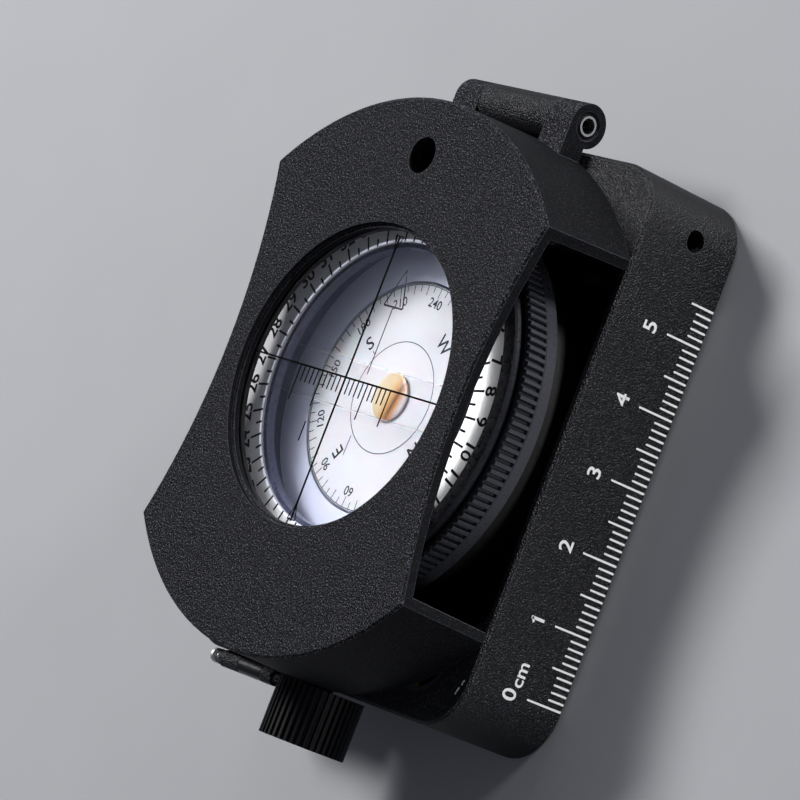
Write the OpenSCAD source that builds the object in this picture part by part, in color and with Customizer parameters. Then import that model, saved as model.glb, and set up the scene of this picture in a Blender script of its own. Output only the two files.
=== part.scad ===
// Handheld sighting compass, closed. Millimetres, +Z up.
// The origin is on the dial's axis, at the mouth of the tripod thread in the underside.
// +Y points to the cover's hinge and +X to the side that carries the ruler.

/* [Base] */
// Width of the base across the two side faces
base_w = 58; // [57.4:0.1:64]
// Length of the base between its two end faces
base_l = 76.6; // [76.2:0.1:80]
// Height of the base from its underside to its top face
base_h = 16.7; // [16:0.1:20]
// Radius of the base's four upright corners
corner_r = 7; // [5:0.1:9]
// Chamfer along the base's outer edges
base_edge = 0.4; // [0.2:0.05:0.8]
// Thickness of the side walls beside the finger pocket
side_wall = 1.1; // [0.9:0.05:1.4]
// Distance of the finger pocket's ends from the base's end faces
pocket_inset = 13.3; // [13.1:0.05:13.5]
// Distance of the pocket's middle from the axis, towards the hinge
pocket_shift = 0.5; // [0.3:0.05:0.7]
// Radius of the pocket's corners
pocket_corner_r = 3; // [2:0.1:5]
// Depth of the finger pocket under the base's top face
pocket_depth = 5; // [3:0.1:5.6]
// Thickness of the floor that carries the bowl
bowl_floor_t = 2; // [1.6:0.1:2.6]

/* [Bottom plate] */
// Thickness of the bottom plate
plate_t = 1.2; // [1:0.1:1.6]
// Width of the base's rim left round the bottom plate
plate_inset = 2; // [1.6:0.1:2.6]
// Radius of the bottom screws' shanks
plate_screw_r = 1; // [0.8:0.05:1.3]
// Distance of the bottom screws from the base's side faces
screw_from_side = 6.6; // [6:0.1:7.5]
// Distance of the bottom screws from the base's end faces
screw_from_end = 5.9; // [5.3:0.1:7.3]
// Outer radius of the tripod bush
tripod_bush_r = 4.5; // [4:0.1:5.2]
// Wall radius of the tripod thread, drilled for a quarter inch screw
tripod_thread_r = 2.55; // [2.4:0.05:2.9]
// Depth of the tripod bush above the underside
tripod_bush_h = 6.3; // [5:0.1:6.5]

/* [Cover] */
// Height of the cover above the base's top face
cover_h = 14.8; // [14.4:0.1:17]
// How far the arc ends of the front plate stand inside the base's end faces
end_arc_inset = 0.1; // [0:0.05:0.5]
// How much further out the cover's rim stands than its front plate
rim_flare = 0.55; // [0.2:0.05:0.65]
// Thickness of the cover's end walls
cover_wall = 1.2; // [1:0.05:1.6]
// Thickness of the cover's front plate
cover_plate = 1.7; // [1.5:0.05:2.2]
// Depth of the cover's hollow sides at the middle, from the base's side faces
waist_inset = 4.3; // [3.6:0.1:4.7]
// Distance of the cover's four corners from the base's side faces
cover_corner_inset = 0.4; // [0.2:0.05:0.6]
// Chamfer along the front plate's edges
cover_edge = 0.35; // [0.2:0.05:0.6]
// Radius of the round hole near the hinge
cover_hole_r = 2.5; // [1.5:0.1:2.8]
// Distance of the round hole's centre from the base's end face
cover_hole_inset = 7.9; // [7.3:0.1:8.9]

/* [Window] */
// Width of the front plate between the window and the hollow sides
window_margin = 3.85; // [3.7:0.05:4.2]
// Depth of the opening's first step
window_step_h = 0.75; // [0.5:0.05:0.9]
// Width of the lip that the glass seats against, beyond the window's opening
window_lip_w = 0.5; // [0.4:0.05:0.8]
// Height of the lip
window_lip_h = 0.75; // [0.5:0.05:0.9]
// Width of the glass that lies under the lip
window_seat_w = 1.15; // [0.95:0.05:1.3]
// Thickness of the window glass
window_glass_t = 1.4; // [1.2:0.05:1.6]
// Radial width of the ring that holds the glass
window_ring_w = 0.9; // [0.6:0.05:1]
// Height of the ring that holds the glass
window_ring_h = 0.7; // [0.5:0.05:0.8]
// Wall of the boss round the window glass
window_boss_wall = 1.3; // [1:0.05:1.6]

/* [Hinge] */
// Distance of the hinge axis beyond the base's end face
hinge_out = 3.3; // [3.25:0.05:3.8]
// Height of the hinge axis above the base's top face
hinge_up = 0.6; // [0.4:0.05:0.9]
// Radius of the hinge barrel and of the lugs' round ends
barrel_r = 3; // [2.8:0.05:3.1]
// Length of the barrel between the lugs
barrel_w = 14.2; // [12:0.1:16]
// Width of each lug
lug_w = 5; // [4:0.1:6]
// Gap between the barrel and each lug
lug_gap = 0.15; // [0.1:0.05:0.25]
// Outer radius of the hollow hinge pin
pin_r = 1.35; // [1.2:0.05:1.6]
// Radius of the hole through the hinge pin
pin_bore_r = 1.05; // [0.6:0.05:1.1]
// Radius of the shallow seat round each end of the hinge pin
pin_seat_r = 1.95; // [1.8:0.05:2.2]
// Depth of the shallow seat
pin_seat_depth = 0.3; // [0.1:0.05:0.5]

/* [Bezel] */
// How far the bezel's ribs stand inside the base's side faces
bezel_inset = 0.5; // [0.2:0.05:0.8]
// Thickness of the bezel from its ribs to the bore that turns on the bowl
bezel_wall = 3.1; // [2.9:0.05:3.3]
// Height of the ribs
rib_depth = 0.5; // [0.3:0.05:0.6]
// Number of ribs round the bezel
rib_count = 160; // [120:4:180]
// Length of the ribs along the axis
rib_h = 2.95; // [2.4:0.05:3.2]
// Height of the plain band under the ribs
band_h = 2; // [1.8:0.05:2.3]
// Gap between the base's top face and the bezel
bezel_gap = 3.45; // [3:0.05:3.8]
// Distance from the ribs to the lip round the scale ring
lip_inset = 1.9; // [1.7:0.05:2.2]
// Width of the lip round the scale ring
lip_w = 2.25; // [2:0.05:2.4]
// Height of the lip above the scale ring
lip_h = 0.3; // [0.1:0.05:0.5]
// Width of the white scale ring
scale_w = 4.45; // [4.2:0.05:4.6]
// Thickness of the scale ring
scale_t = 0.5; // [0.3:0.05:0.7]
// Thickness of the dial crystal
crystal_t = 1; // [0.8:0.05:1.1]
// Width of the ledge under the dial crystal
crystal_ledge = 0.6; // [0.4:0.05:0.8]

/* [Bowl and card] */
// Thickness of the bowl's wall
bowl_wall = 1.4; // [1.3:0.05:1.6]
// Thickness of the bowl's floor
bowl_bottom_t = 1.5; // [1.2:0.05:1.8]
// Distance of the well's edge inside the crystal's edge
well_rim = 3.75; // [3.5:0.05:3.9]
// Width of the dark ring that stands on the well's rim
surround_w = 2.75; // [2.4:0.05:3]
// Wall thickness of the card well
well_wall = 1; // [0.8:0.05:1.2]
// Depth of the well's floor under the card's top face
well_depth = 2.6; // [2.5:0.05:2.8]
// Depth of the card and the well's rim under the dark ring's top
card_sink = 2.85; // [2.6:0.05:3]
// Gap between the card's edge and the well
card_gap = 0.35; // [0.25:0.05:0.6]
// Thickness of the compass card
card_t = 0.4; // [0.3:0.05:0.6]
// Angle of the card's north mark from +X, towards +Y
card_north = -37; // [-180:1:180]
// Distance of the bar magnet's ends from the well
magnet_inset = 3.45; // [2:0.05:6]
// Width of the bar magnet
magnet_w = 5; // [4.8:0.1:6]
// Thickness of the bar magnet
magnet_t = 1; // [0.8:0.05:1.05]
// Radius of the card's hub where it passes through the magnet
hub_r = 2; // [1.9:0.05:2.1]
// Radius of the hub's flange on the card
hub_flange_r = 2.6; // [2.5:0.1:3.6]
// Height of the hub's flange
hub_flange_t = 0.2; // [0.15:0.05:0.4]
// Radius of the amber jewel where it is set in the hub
jewel_r = 1.35; // [1.2:0.05:1.4]
// Radius of the amber jewel's head
jewel_head_r = 3.3; // [2.7:0.1:3.5]
// Height of the straight part of the jewel's head
jewel_head_h = 0.15; // [0.1:0.05:0.4]
// Height of the round top of the jewel's head
jewel_dome_h = 0.3; // [0.2:0.05:0.5]
// Radius of the steel pivot post
post_r = 1.1; // [0.9:0.05:1.15]

/* [Card clamp] */
// Radius over the clamp knob's ribs
knob_r = 5.9; // [5:0.05:6.2]
// Length of the clamp knob
knob_l = 7.9; // [6:0.1:9]
// Gap between the clamp knob and the base's end face
knob_gap = 0.45; // [0.3:0.05:0.8]
// Number of ribs round the clamp knob
knob_ribs = 40; // [30:1:48]
// Height of the clamp knob's ribs
knob_rib_depth = 0.45; // [0.3:0.05:0.6]
// Depth of the knob's axis under the base's top face
knob_down = 1.9; // [1.7:0.05:2.1]
// Radius of the knob's shaft
shaft_r = 0.9; // [0.8:0.05:1]
// Outer radius of the shaft's bush
bush_r = 1.4; // [1.3:0.05:1.5]
// Rise of the lift sleeve when the knob has turned a quarter turn
lift = 0.8; // [0.5:0.05:0.8]
// Distance from the post to the lever's pivot
lever_nose = 12.5; // [12:0.1:13]
// Distance of the cam from the bowl's inner wall
cam_inset = 2.5; // [2.2:0.1:2.9]
// Thickness of the lever
lever_t = 1; // [0.8:0.05:1.1]

/* [Bubble level] */
// Distance of the level's centre from the ruled side face
level_from_side = 10.1; // [9.6:0.1:11.5]
// Distance of the level's centre from the base's end face
level_from_end = 8.3; // [8:0.1:8.4]
// Outer radius of the level's cup
level_r = 4.7; // [4:0.1:4.8]
// Height of the level's cup
level_h = 3.2; // [2.6:0.1:3.6]

/* [Reading lens] */
// Height of the lens hinge under the base's top face
lens_hinge_down = 1.7; // [1.4:0.05:2]
// Radius of the lens hinge's knuckles
knuckle_r = 1.15; // [1:0.05:1.3]
// Radius of the reading lens
lens_r = 3.9; // [3:0.05:4.2]
// Distance of the lens's centre from the base's plain side face
lens_from_side = 12.7; // [12:0.1:13.5]
// Width of the frame round the reading lens
lens_rim = 1.1; // [0.8:0.05:1.3]
// Thickness of the lens leaf
leaf_t = 1.1; // [0.9:0.05:1.3]
// Distance from the lens hinge down to the lens's centre
leaf_drop = 7.2; // [6.6:0.1:8]

/* [Lanyard hole] */
// Radius of the lanyard hole in the side face
lanyard_r = 1.5; // [1:0.1:1.7]
// Radius of the lanyard hole in the end face, which the other hole runs into
lanyard_end_r = 1.8; // [1.5:0.1:2]
// Distance of the lanyard hole from the hinge end face
lanyard_in = 6.5; // [5.5:0.1:7.5]
// Depth from the side face at which the hole turns to the end face
lanyard_depth = 7.5; // [7:0.1:8]
// Height of the lanyard hole above the underside
lanyard_z = 7.7; // [6:0.1:9]

/* [Hidden] */
$fn = 96;
eps = 0.02;
run_gap = 0.05;
fit_gap = 0.05;
part_gap = 0.3;
glue_gap = 0.03;

cover_top = base_h + cover_h;
hinge_y = base_l / 2 + hinge_out;
hinge_z = base_h + hinge_up;
end_arc_r = base_l / 2 - end_arc_inset;
waist_half_w = base_w / 2 - waist_inset;
corner_x = base_w / 2 - cover_corner_inset;
waist_x = (end_arc_r * end_arc_r - waist_half_w * waist_half_w) / (2 * (corner_x - waist_half_w));
waist_r = waist_x - waist_half_w;
cover_hole_y = base_l / 2 - cover_hole_inset;
rim_r = end_arc_r + rim_flare;

plate_w = base_w - 2 * plate_inset;
plate_l = base_l - 2 * plate_inset;
plate_corner_r = corner_r - plate_inset;
plate_screw_x = base_w / 2 - screw_from_side;
plate_screw_y = base_l / 2 - screw_from_end;
screw_head_r = 2 * plate_screw_r;
screw_slot_w = 0.4;
screw_slot_h = 0.5;
plate_screw_l = 4;
screw_hole_l = 4.8;
cavity_x = base_w / 2 - 5;
cavity_from_end = 16.3;
cavity_y = base_l / 2 - cavity_from_end;
cavity_rib_x = 14;
cavity_rib_w = 1.5;
bush_boss_wall = 2.5;
end_cavity_x = base_w / 2 - 13;
end_cavity_in = base_l / 2 - 10.3;
end_cavity_out = base_l / 2 - 3.1;
knob_cavity_x = 4.5;
knob_cavity_w = base_w / 2 - 15;
knob_cavity_top = 9.7;
pocket_l = base_l - 2 * pocket_inset;
through = 2;

pocket_floor = base_h - pocket_depth;
bezel_r = base_w / 2 - bezel_inset;
bowl_r = bezel_r - bezel_wall;
lip_r = bezel_r - lip_inset;
scale_r = lip_r - lip_w;
crystal_r = scale_r - scale_w;
well_r = crystal_r - well_rim;
card_r = well_r - card_gap;
magnet_l = 2 * (well_r - magnet_inset);
bezel_z = base_h + bezel_gap;
rib_z = bezel_z + band_h;
rib_top = rib_z + rib_h;
bezel_web_t = 0.9;
scale_z = rib_top - 0.1;
web_under = scale_z - bezel_web_t;
skirt_drop = 0.15;
surround_gap = 0.2;
surround_top = web_under - skirt_drop - surround_gap;
card_top = surround_top - card_sink;
well_floor = card_top - well_depth;
well_floor_t = 0.8;
well_plate_t = 1.2;
bowl_inner_r = bowl_r - bowl_wall;
bowl_top = surround_top - 0.05;
bowl_z = pocket_floor - bowl_floor_t;
bowl_floor = bowl_z + bowl_bottom_t;
cavity_top = bowl_z - bowl_floor_t;
bowl_screw_place = bowl_inner_r - 6;
bore_in_bezel = bowl_r + run_gap;
rib_core_r = bezel_r - rib_depth;

snap_z = bezel_z + 0.55;
snap_h = 0.6;
snap_in_r = bowl_r - 0.4;
snap_out_r = bowl_r + 0.4;
seal_r = 0.42;
seal_z = rib_z + 0.45;
seal_mid_r = bowl_r - seal_r - 0.01;

hub_bottom = card_top - card_t - magnet_t - 0.05;
jewel_z = card_top - 0.9;
jewel_seat_z = card_top + hub_flange_t;
tip_z = card_top - 0.1;
cup_h = tip_z + 0.05 - jewel_z;
cup_r = 0.9;
taper_h = 1.9;
sleeve_r = 1.7;
sleeve_in_r = post_r + run_gap;
sleeve_top = hub_bottom - lift - run_gap;
flange_r = 2.8;
flange_t = 0.6;
knob_z = base_h - knob_down;
knob_y = -base_l / 2 - knob_gap;
knob_recess = 1.2;
knob_dish_wall = 1.5;
knob_collar_gap = 0.1;
knob_collar = knob_gap - knob_collar_gap;
knob_screw_r = 0.5;
knob_screw_head_r = 2;
knob_screw_head_h = 0.9;
knob_screw_l = 4;
bowl_screw_r = 1;
bowl_screw_head_r = 1.9;
bowl_screw_head_h = 1.2;
bush_in_y = -bowl_r - 0.3;
cam_y = -bowl_inner_r + cam_inset;
lever_tail = -cam_y - lever_nose;
cam_t = 1.2;
cam_r = 1.6;
lever_top = knob_z - cam_r - run_gap;
lever_mid = lever_top - lever_t / 2;
lever_angle = asin(lift / lever_nose);
cam_rise = lever_tail * sin(lever_angle);
pad_r = 0.5;
lever_w = 3;
lever_eye = 0.6;
bracket_w = 5;
bracket_foot_t = 0.3;
bracket_ear_t = 0.7;
bracket_ear_l = 2.4;
fork_w = 4.8;
fork_l = 4;
fork_gap = 0.15;
flange_z = lever_top + 0.15;
pad_z = flange_z - run_gap - pad_r;
window_in_bowl_r = 3.2;
level_x = base_w / 2 - level_from_side;
level_y = -base_l / 2 + level_from_end;
level_wall = 0.7;
level_floor = 0.6;
level_glass_t = 0.7;
level_sink = 0.1;
lever_pin_r = 0.5;

window_r = waist_half_w - window_margin;
window_lip_r = window_r - window_lip_w;
window_glass_r = window_lip_r + window_seat_w;
window_top = cover_top - window_step_h - window_lip_h;
window_under = window_top - window_glass_t;
boss_under = window_under - window_ring_h;

lens_y = -base_l / 2 - knuckle_r - run_gap;
lens_z = base_h - lens_hinge_down;
leaf_x = -base_w / 2 + lens_from_side;
leaf_x0 = leaf_x - 0.65;
leaf_x1 = leaf_x + 4.3;
knuckle_gap = 0.15;
far_knuckle_w = 4.1;
near_knuckle_w = 2.25;
knuckle_x = [leaf_x0 - knuckle_gap - far_knuckle_w, leaf_x0 - knuckle_gap, leaf_x0, leaf_x1,
  leaf_x1 + knuckle_gap, leaf_x1 + knuckle_gap + near_knuckle_w];
lens_pin_r = 0.5;
lens_pin_bore_r = 0.25;
lens_pin_end = 0.1;
lens_head_r = 1;
lens_head_t = 0.4;
lens_wire_r = 0.2;
lens_coil_r = lens_pin_r + lens_wire_r + 0.15;
lens_coil_w = 1.6;
lens_spring_leg = 2;
pin_x0 = knuckle_x[0] - lens_coil_w - knuckle_gap;
leaf_back_y = -base_l / 2 - part_gap;
lanyard_y = base_l / 2 - lanyard_in;
lanyard_x = base_w / 2 - lanyard_depth;

// A polygon in radius and height, turned about the dial axis
module turned(points) { rotate_extrude() polygon(points); }

// A ring with a square section about the dial axis
module ring(r_out, r_in, z0, z1) {
  turned([[r_in, z0], [r_out, z0], [r_out, z1], [r_in, z1]]);
}

// A cylinder along X from x0 to x1
module rod_x(r, x0, x1, y, z) {
  translate([x0, y, z]) rotate([0, 90, 0]) cylinder(r = r, h = x1 - x0);
}

// A cylinder along Y from y0 to y1
module rod_y(r, y0, y1, x, z) {
  translate([x, y1, z]) rotate([90, 0, 0]) cylinder(r = r, h = y1 - y0);
}

// A box from one corner to the other
module block(a, b) { translate(a) cube(b - a); }

// A profile in Y and Z, drawn out along X
module prism_x(x0, x1, points) {
  translate([x0, 0, 0]) rotate([90, 0, 90]) linear_extrude(x1 - x0) polygon(points);
}

// A plate with upright round corners
module round_plate(w, l, r, z0, z1) {
  block([-w / 2 + r, -l / 2, z0], [w / 2 - r, l / 2, z1]);
  block([-w / 2, -l / 2 + r, z0], [w / 2, l / 2 - r, z1]);
  for (sx = [-1, 1], sy = [-1, 1])
    translate([sx * (w / 2 - r), sy * (l / 2 - r), z0]) cylinder(r = r, h = z1 - z0);
}

// Half of an outline with both edges chamfered, from the middle out to reach
function edged(reach, h, c) = [[0, 0], [reach - c, 0], [reach, c], [reach, h - c],
  [reach - c, h], [0, h]];

// The base's outer block: four turned corners joined by two prisms
module edged_block(w, l, h, r, c) {
  x = w / 2 - r;
  y = l / 2 - r;
  for (sx = [-1, 1], sy = [-1, 1]) translate([sx * x, sy * y, 0]) turned(edged(r, h, c));
  for (s = [0, 180]) {
    rotate([0, 0, s]) prism_x(-x, x, edged(l / 2, h, c));
    rotate([0, 0, s + 90]) prism_x(-y, y, edged(w / 2, h, c));
  }
}

// A ring of straight ribs, as a flat outline
module ribbed_outline(r, depth, count) {
  pitch = 360 / count;
  shape = [[-0.36, r - depth], [-0.2, r], [0.2, r], [0.36, r - depth]];
  polygon([for (i = [0:count - 1], p = shape)
    [p[1] * cos((i + p[0]) * pitch), p[1] * sin((i + p[0]) * pitch)]]);
}

module base_casting() color([0.1, 0.1, 0.11]) difference() {
  union() {
    edged_block(base_w, base_l, base_h, corner_r, base_edge);
    rod_x(barrel_r, -barrel_w / 2, barrel_w / 2, hinge_y, hinge_z);
    block([-barrel_w / 2, base_l / 2 - 1, hinge_z - barrel_r],
      [barrel_w / 2, hinge_y, base_h - base_edge]);
    for (i = [0, 4]) {
      rod_x(knuckle_r, knuckle_x[i], knuckle_x[i + 1], lens_y, lens_z);
      block([knuckle_x[i], lens_y, lens_z - knuckle_r],
        [knuckle_x[i + 1], -base_l / 2 + 1, lens_z]);
    }
  }
  translate([0, pocket_shift, 0])
    round_plate(base_w - 2 * side_wall, pocket_l, pocket_corner_r, pocket_floor, base_h + 1);
  translate([0, 0, bowl_z]) cylinder(r = bowl_r + fit_gap, h = base_h);
  round_plate(plate_w + 2 * fit_gap, plate_l + 2 * fit_gap, plate_corner_r, -1, plate_t);
  underside_hollows();
  rod_x(pin_r + run_gap, -barrel_w, barrel_w, hinge_y, hinge_z);
  rod_x(lens_pin_r, pin_x0, knuckle_x[5] + through, lens_y, lens_z);
  rod_y(bush_r, -base_l / 2 - 1, bush_in_y + 1, 0, knob_z);
  translate([level_x, level_y, base_h - level_h]) cylinder(r = level_r, h = level_h + 1);
  translate([0, 0, plate_t - 1]) cylinder(r = tripod_bush_r, h = tripod_bush_h - plate_t + 1);
  rod_x(lanyard_r, lanyard_x, base_w, lanyard_y, lanyard_z);
  rod_y(lanyard_end_r, lanyard_y - lanyard_end_r, base_l, lanyard_x, lanyard_z);
  at_bottom_screws() cylinder(r = plate_screw_r, h = screw_hole_l);
  at_bowl_screws() translate([0, 0, cavity_top - through])
    cylinder(r = bowl_screw_r, h = bowl_floor_t + 2 * through);
}

// The hollows that keep the casting's walls thin, closed by the bottom plate
module underside_hollows() {
  z0 = plate_t - eps;
  difference() {
    block([-cavity_x, -cavity_y, z0], [cavity_x, cavity_y, cavity_top]);
    cylinder(r = tripod_bush_r + bush_boss_wall, h = base_h);
    for (s = [-1, 1]) block([s * cavity_rib_x - cavity_rib_w / 2, -cavity_y, z0],
      [s * cavity_rib_x + cavity_rib_w / 2, cavity_y, cavity_top]);
  }
  block([-end_cavity_x, end_cavity_in, z0], [end_cavity_x, end_cavity_out, pocket_floor]);
  for (x = [knob_cavity_x, -knob_cavity_x - knob_cavity_w])
    block([x, -end_cavity_out, z0], [x + knob_cavity_w, -end_cavity_in, knob_cavity_top]);
}

module at_bottom_screws() {
  for (sx = [-1, 1], sy = [-1, 1]) translate([sx * plate_screw_x, sy * plate_screw_y, 0])
    children();
}

module at_bowl_screws() {
  for (a = [90, 210, 330]) rotate([0, 0, a]) translate([bowl_screw_place, 0, 0]) children();
}

module bottom_plate() color([0.13, 0.13, 0.14]) difference() {
  round_plate(plate_w, plate_l, plate_corner_r, 0, plate_t);
  translate([0, 0, -1]) cylinder(r = tripod_bush_r + fit_gap, h = plate_t + 2);
  at_bottom_screws() screw_shape(fit_gap, -1);
}

// A countersunk screw with its head at the underside
module screw_shape(gap, z0) {
  head_h = screw_head_r - plate_screw_r;
  translate([0, 0, z0]) cylinder(r = plate_screw_r + gap, h = plate_screw_l - z0);
  cylinder(r1 = screw_head_r + gap, r2 = plate_screw_r + gap, h = head_h);
}

module bottom_screws() color("silver") at_bottom_screws() difference() {
  screw_shape(0, 0);
  for (a = [0, 90]) rotate([0, 0, a])
    block([-plate_screw_r, -screw_slot_w / 2, -through], [plate_screw_r, screw_slot_w / 2, screw_slot_h]);
}

module tripod_bush() color([0.78, 0.66, 0.36])
  ring(tripod_bush_r, tripod_thread_r, 0, tripod_bush_h);

module compass_bowl() color([0.16, 0.16, 0.17]) difference() {
  turned([[0, bowl_z], [bowl_r, bowl_z], [bowl_r, bowl_top], [bowl_inner_r, bowl_top],
    [bowl_inner_r, bowl_floor], [0, bowl_floor]]);
  ring(bowl_r + 1, seal_mid_r - seal_r, seal_z - seal_r, seal_z + seal_r);
  ring(bowl_r + 1, snap_in_r, snap_z - snap_h / 2, snap_z + snap_h / 2);
  rod_y(window_in_bowl_r, -bowl_r - 1, -bowl_inner_r + 1.5, 0, knob_z);
  translate([0, 0, bowl_z - 1]) cylinder(r = post_r, h = bowl_bottom_t + 2);
  at_bowl_screws() translate([0, 0, bowl_z - 1]) cylinder(r = bowl_screw_r + fit_gap, h = base_h);
}

module bowl_screws() color("silver") at_bowl_screws() difference() {
  union() {
    translate([0, 0, cavity_top])
      cylinder(r = bowl_screw_r, h = bowl_floor - cavity_top + bowl_screw_head_h / 2);
    translate([0, 0, bowl_floor]) cylinder(r = bowl_screw_head_r, h = bowl_screw_head_h);
  }
  translate([0, 0, bowl_floor + bowl_screw_head_h])
    block([-bowl_screw_head_r * 2, -screw_slot_w / 2, -screw_slot_h],
      [bowl_screw_head_r * 2, screw_slot_w / 2, through]);
}

module card_well() color([0.86, 0.86, 0.93]) difference() {
  out_r = bowl_inner_r - fit_gap;
  turned([[0, well_floor - well_floor_t], [well_r + well_wall, well_floor - well_floor_t],
    [well_r + well_wall, card_top - well_plate_t], [out_r - well_wall, card_top - well_plate_t],
    [out_r - well_wall, bowl_floor], [out_r, bowl_floor], [out_r, card_top],
    [well_r, card_top], [well_r, well_floor], [0, well_floor]]);
  translate([0, 0, well_floor - 2]) cylinder(r = sleeve_r + run_gap, h = 3);
  rod_y(window_in_bowl_r, -bowl_r, -out_r + 3, 0, knob_z);
}

module dial_surround() color([0.2, 0.21, 0.3])
  ring(bowl_inner_r - fit_gap, bowl_inner_r - fit_gap - surround_w, card_top, surround_top);

module pivot_post() color("silver") {
  translate([0, 0, bowl_z]) cylinder(r = post_r, h = tip_z - taper_h - bowl_z);
  translate([0, 0, tip_z - taper_h]) cylinder(r1 = post_r, r2 = 0.05, h = taper_h);
}

module bezel_seal() color([0.05, 0.05, 0.05])
  rotate_extrude() translate([seal_mid_r, seal_z]) circle(r = seal_r, $fn = 24);

module bezel_snap_ring() color("silver") difference() {
  ring(snap_out_r, snap_in_r, snap_z - snap_h / 2, snap_z + snap_h / 2);
  block([0, -1, snap_z - 1], [bezel_r, 1, snap_z + 1]);
}

module shaft_bush() color([0.78, 0.66, 0.36]) difference() {
  rod_y(bush_r, -base_l / 2, bush_in_y, 0, knob_z);
  rod_y(shaft_r + run_gap, -base_l, 0, 0, knob_z);
}

module lever_bracket() color("silver") difference() {
  union() {
    block([-bracket_w / 2, -lever_nose - bracket_w / 2, bowl_floor],
      [bracket_w / 2, -lever_nose + bracket_w / 2, bowl_floor + bracket_foot_t]);
    for (x = [-bracket_w / 2, bracket_w / 2 - bracket_ear_t])
      block([x, -lever_nose - bracket_ear_l / 2, bowl_floor],
        [x + bracket_ear_t, -lever_nose + bracket_ear_l / 2, lever_mid + bracket_ear_l / 2]);
  }
  rod_x(lever_pin_r, -bracket_w, bracket_w, -lever_nose, lever_mid);
}

module lever_pin() color("silver") rod_x(lever_pin_r, -bracket_w / 2 - 0.1,
  bracket_w / 2 + 0.1, -lever_nose, lever_mid);

// A coil swept as one tube, with square flat rings along its helix
module lift_spring() color("silver") {
  wire_r = 0.2;
  coil_r = 2.25;
  turns = 4;
  sides = 6;
  steps = 16 * turns;
  z0 = flange_z + flange_t + wire_r + 0.05;
  rise = well_floor - well_floor_t - wire_r - 0.05 - z0;
  points = [for (i = [0:steps], j = [0:sides - 1]) let (a = 360 * turns * i / steps,
      b = 360 * j / sides, r = coil_r + wire_r * cos(b))
    [r * cos(a), r * sin(a), z0 + rise * i / steps + wire_r * sin(b)]];
  skin = [for (i = [0:steps - 1], j = [0:sides - 1]) let (k = (j + 1) % sides)
    each [[i * sides + j, i * sides + k, (i + 1) * sides + k],
      [i * sides + j, (i + 1) * sides + k, (i + 1) * sides + j]]];
  ends = [[for (j = [0:sides - 1]) sides - 1 - j], [for (j = [0:sides - 1]) steps * sides + j]];
  polyhedron(points, concat(skin, ends));
}

module level_cup() color([0.3, 0.3, 0.32]) translate([level_x, level_y, base_h - level_h])
  turned([[0, 0], [level_r, 0], [level_r, level_h - level_sink / 2],
    [level_r - level_wall, level_h - level_sink / 2], [level_r - level_wall, level_floor],
    [0, level_floor]]);

module level_liquid() color([0.75, 0.85, 0.2]) translate([level_x, level_y, base_h - level_h])
  translate([0, 0, level_floor])
    cylinder(r = level_r - level_wall, h = level_h - level_floor - level_glass_t - level_sink);

module level_glass() color([0.9, 0.95, 0.9, 0.4]) translate([level_x, level_y, base_h])
  translate([0, 0, -level_glass_t - level_sink]) cylinder(r = level_r - level_wall, h = level_glass_t);

module lens_hinge_pin() color("silver") difference() {
  union() {
    rod_x(lens_pin_r, pin_x0, knuckle_x[5] + lens_pin_end, lens_y, lens_z);
    rod_x(lens_head_r, pin_x0 - lens_head_t, pin_x0, lens_y, lens_z);
  }
  rod_x(lens_pin_bore_r, pin_x0 - through, knuckle_x[5] + through, lens_y, lens_z);
}

// A short coil round the lens pin, with a straight leg down each side
module lens_spring() color("silver") translate([0, lens_y, lens_z]) {
  turns = 1.5;
  sides = 6;
  steps = 14 * turns;
  last = steps + 2;
  pitch = (lens_coil_w - 2 * lens_wire_r - knuckle_gap) / turns;
  x0 = knuckle_x[0] - lens_coil_w + lens_wire_r;
  points = [for (i = [0:last], j = [0:sides - 1]) let (
      k = max(0, min(steps, i - 1)),
      a = 360 * turns * k / steps,
      leg = i == 0 || i == last ? lens_spring_leg : 0,
      b = 360 * j / sides,
      r = lens_coil_r + lens_wire_r * cos(b))
    [x0 + pitch * turns * k / steps + lens_wire_r * sin(b), r * cos(a), r * sin(a) - leg]];
  skin = [for (i = [0:last - 1], j = [0:sides - 1]) let (k = (j + 1) % sides)
    each [[i * sides + j, i * sides + k, (i + 1) * sides + k],
      [i * sides + j, (i + 1) * sides + k, (i + 1) * sides + j]]];
  ends = [[for (j = [0:sides - 1]) sides - 1 - j], [for (j = [0:sides - 1]) last * sides + j]];
  polyhedron(points, concat(skin, ends));
}

// The side of the cover facing +X is cut by this, and the other side by its mirror
module waist_cutter() translate([waist_x, 0, 0])
  turned([[0, base_h - through], [waist_r, base_h - through], [waist_r, cover_top - cover_edge],
    [waist_r + 2 * cover_edge, cover_top + cover_edge], [0, cover_top + cover_edge]]);

module cover_inside() {
  turned([[0, base_h - 1], [rim_r - cover_wall + 0.05, base_h - 1],
    [end_arc_r - cover_wall, cover_top - cover_plate], [0, cover_top - cover_plate]]);
}

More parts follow.
